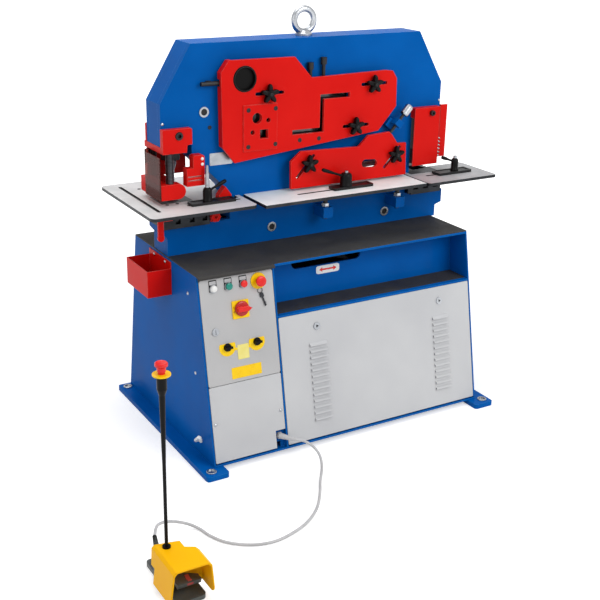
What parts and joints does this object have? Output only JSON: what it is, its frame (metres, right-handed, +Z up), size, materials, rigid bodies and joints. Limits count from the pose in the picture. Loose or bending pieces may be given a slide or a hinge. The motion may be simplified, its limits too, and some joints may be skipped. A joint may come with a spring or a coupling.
{
  "type": "ironworker machine",
  "caption": "Floor-standing hydraulic ironworker for punching, shearing flat, angle and round bar, and notching, with a control door, chip box and cabled foot switch.",
  "frame": {"origin": "floor level at the middle of the rectangle of the four anchor holes in the foot rails; the main frame's front face is in the plane y = 0", "axes": "+X along the front to the right, +Y from the front to the back, +Z up"},
  "size_m": [1.8636, 1.486, 1.5911],
  "materials": {
    "blue_paint": "semi-gloss",
    "red_paint": "semi-gloss",
    "grey_paint": "satin",
    "door_paint": "satin",
    "yellow_paint": "satin",
    "mat_rubber": "ribbed matt",
    "table_steel": "ground",
    "tool_steel": "ground",
    "machined_steel": "machined",
    "dark_steel": "blackened",
    "zinc_steel": "zinc plated",
    "inner_paint": "satin",
    "black_plastic": "moulded",
    "grey_plastic": "moulded",
    "yellow_plastic": "moulded",
    "red_plastic": "moulded",
    "green_plastic": "moulded",
    "clear_plastic": "clear polycarbonate"
  },
  "bodies": {
    "machine": {"foot_rails": "blue_paint", "cabinet": "blue_paint", "rubber_mats": "mat_rubber", "lower_panel": "grey_paint", "front_cover": "grey_paint", "cover_locks": "zinc_steel", "front_plate": "blue_paint", "back_plate": "blue_paint", "frame_rim": "blue_paint", "lifting_eye": "zinc_steel", "left_table": "table_steel", "middle_table": "table_steel", "right_table": "table_steel", "frame_screws": "zinc_steel", "punch_yoke": "red_paint", "stripper_posts": "dark_steel", "throat_brackets": "red_paint", "die_bolster": "machined_steel", "fixed_tools": "tool_steel", "notch_guard": "red_paint", "notch_bed": "machined_steel", "chip_box": "red_paint", "control_gear": "grey_plastic", "cylinder_body": "inner_paint", "hydraulic_unit": "inner_paint", "pedal_base": "black_plastic", "pedal_hood": "yellow_paint", "estop_post": "black_plastic", "pedal_cable": "grey_plastic", "cable_gland": "grey_plastic"},
    "beam": {"beam": "machined_steel", "moving_tools": "tool_steel"},
    "section_guard": {"section_guard": "red_paint"},
    "shear_guard": {"shear_guard": "red_paint", "hold_down_spindle": "dark_steel"},
    "knob_1": {"knob_1": "black_plastic"},
    "knob_2": {"knob_2": "black_plastic"},
    "knob_3": {"knob_3": "black_plastic"},
    "knob_4": {"knob_4": "black_plastic"},
    "knob_5": {"knob_5": "black_plastic"},
    "stripper": {"stripper": "red_paint"},
    "punch_guard": {"punch_guard": "clear_plastic"},
    "die_lever": {"die_lever": "red_paint"},
    "left_stop": {"left_stop": "dark_steel"},
    "middle_stop": {"middle_stop": "dark_steel"},
    "right_stop": {"right_stop": "dark_steel"},
    "left_lever": {"left_lever": "black_plastic"},
    "middle_lever": {"middle_lever": "black_plastic"},
    "right_lever": {"right_lever": "black_plastic"},
    "door": {"door": "door_paint", "door_fittings": "yellow_plastic"},
    "start_button": {"start_button": "green_plastic"},
    "stop_button": {"stop_button": "red_plastic"},
    "estop_button": {"estop_button": "red_plastic"},
    "main_switch": {"main_switch": "red_plastic"},
    "left_selector": {"left_selector": "black_plastic"},
    "right_selector": {"right_selector": "black_plastic"},
    "door_lock": {"door_lock": "zinc_steel"},
    "pedal": {"pedal": "black_plastic"},
    "post_button": {"post_button": "red_plastic"}
  },
  "joints": [
    {"name": "beam_stroke", "type": "slide", "parent": "machine", "child": "beam", "axis": [0, 0, 1], "range_m": [-0.04, 0]},
    {"name": "section_guard_slide", "type": "slide", "parent": "machine", "child": "section_guard", "axis": [1, 0, 0], "range_m": [-0.06, 0]},
    {"name": "shear_guard_slide", "type": "slide", "parent": "machine", "child": "shear_guard", "axis": [0.6691, 0, 0.7431], "range_m": [0, 0.034]},
    {"name": "knob_1_turn", "type": "hinge", "parent": "machine", "child": "knob_1", "pos_m": [-0.205, -0.06, 1.294], "axis": [0, 1, 0], "range_deg": [-120, 120]},
    {"name": "knob_2_turn", "type": "hinge", "parent": "machine", "child": "knob_2", "pos_m": [0.257, -0.06, 1.298], "axis": [0, 1, 0], "range_deg": [-120, 120]},
    {"name": "knob_3_turn", "type": "hinge", "parent": "machine", "child": "knob_3", "pos_m": [0.178, -0.06, 1.142], "axis": [0, 1, 0], "range_deg": [-120, 120]},
    {"name": "knob_4_turn", "type": "hinge", "parent": "machine", "child": "knob_4", "pos_m": [-0.036, -0.06, 1.018], "axis": [0, 1, 0], "range_deg": [-120, 120]},
    {"name": "knob_5_turn", "type": "hinge", "parent": "machine", "child": "knob_5", "pos_m": [0.366, -0.06, 1.014], "axis": [0, 1, 0], "range_deg": [-120, 120]},
    {"name": "stripper_lift", "type": "slide", "parent": "machine", "child": "stripper", "axis": [0, 0, 1], "range_m": [0, 0.05]},
    {"name": "punch_guard_swing", "type": "hinge", "parent": "machine", "child": "punch_guard", "pos_m": [-0.611, 0.126, 1], "axis": [0, 0, 1], "range_deg": [-90, 0]},
    {"name": "die_lever_swing", "type": "hinge", "parent": "machine", "child": "die_lever", "pos_m": [-0.598, -0.03, 0.872], "axis": [0, 1, 0], "range_deg": [-20, 20]},
    {"name": "left_stop_slide", "type": "slide", "parent": "machine", "child": "left_stop", "axis": [1, 0, 0], "range_m": [-0.05, 0.1]},
    {"name": "middle_stop_slide", "type": "slide", "parent": "machine", "child": "middle_stop", "axis": [1, 0, 0], "range_m": [-0.08, 0.08]},
    {"name": "right_stop_slide", "type": "slide", "parent": "machine", "child": "right_stop", "axis": [1, 0, 0], "range_m": [-0.04, 0.06]},
    {"name": "left_lever_turn", "type": "hinge", "parent": "left_stop", "child": "left_lever", "pos_m": [-0.462, -0.052, 0.93], "axis": [0, 0, 1], "range_deg": [-120, 0]},
    {"name": "middle_lever_turn", "type": "hinge", "parent": "middle_stop", "child": "middle_lever", "pos_m": [0.111, -0.095, 0.93], "axis": [0, 0, 1], "range_deg": [0, 120]},
    {"name": "right_lever_turn", "type": "hinge", "parent": "right_stop", "child": "right_lever", "pos_m": [0.653, -0.08, 0.93], "axis": [0, 0, 1], "range_deg": [0, 120]},
    {"name": "door_hinge", "type": "hinge", "parent": "machine", "child": "door", "pos_m": [-0.305, -0.28453, 0.49923], "axis": [0, 0.1929, 0.9812], "range_deg": [0, 100]},
    {"name": "start_button_push", "type": "slide", "parent": "door", "child": "start_button", "axis": [0, 0.9812, -0.1929], "range_m": [0, 0.004], "stiffness_N_per_m": 600, "springref_m": -0.004},
    {"name": "stop_button_push", "type": "slide", "parent": "door", "child": "stop_button", "axis": [0, 0.9812, -0.1929], "range_m": [0, 0.004], "stiffness_N_per_m": 600, "springref_m": -0.004},
    {"name": "estop_button_push", "type": "slide", "parent": "door", "child": "estop_button", "axis": [0, 0.9812, -0.1929], "range_m": [0, 0.005], "stiffness_N_per_m": 600, "springref_m": -0.004},
    {"name": "main_switch_turn", "type": "hinge", "parent": "door", "child": "main_switch", "pos_m": [-0.443, -0.27391, 0.574], "axis": [0, 0.9812, -0.1929], "range_deg": [-90, 0]},
    {"name": "left_selector_turn", "type": "hinge", "parent": "door", "child": "left_selector", "pos_m": [-0.508, -0.29907, 0.446], "axis": [0, 0.9812, -0.1929], "range_deg": [-45, 45]},
    {"name": "right_selector_turn", "type": "hinge", "parent": "door", "child": "right_selector", "pos_m": [-0.388, -0.29907, 0.446], "axis": [0, 0.9812, -0.1929], "range_deg": [-45, 45]},
    {"name": "door_lock_turn", "type": "hinge", "parent": "door", "child": "door_lock", "pos_m": [-0.549, -0.28688, 0.508], "axis": [0, 0.9812, -0.1929], "range_deg": [0, 90]},
    {"name": "pedal_press", "type": "hinge", "parent": "machine", "child": "pedal", "pos_m": [-1, -0.939, 0.058], "axis": [1, 0, 0], "range_deg": [0, 10], "stiffness_Nm_per_rad": 8, "springref_deg": -17.19},
    {"name": "post_button_push", "type": "slide", "parent": "machine", "child": "post_button", "axis": [0, 0, -1], "range_m": [0, 0.005], "stiffness_N_per_m": 600, "springref_m": -0.004}
  ]
}
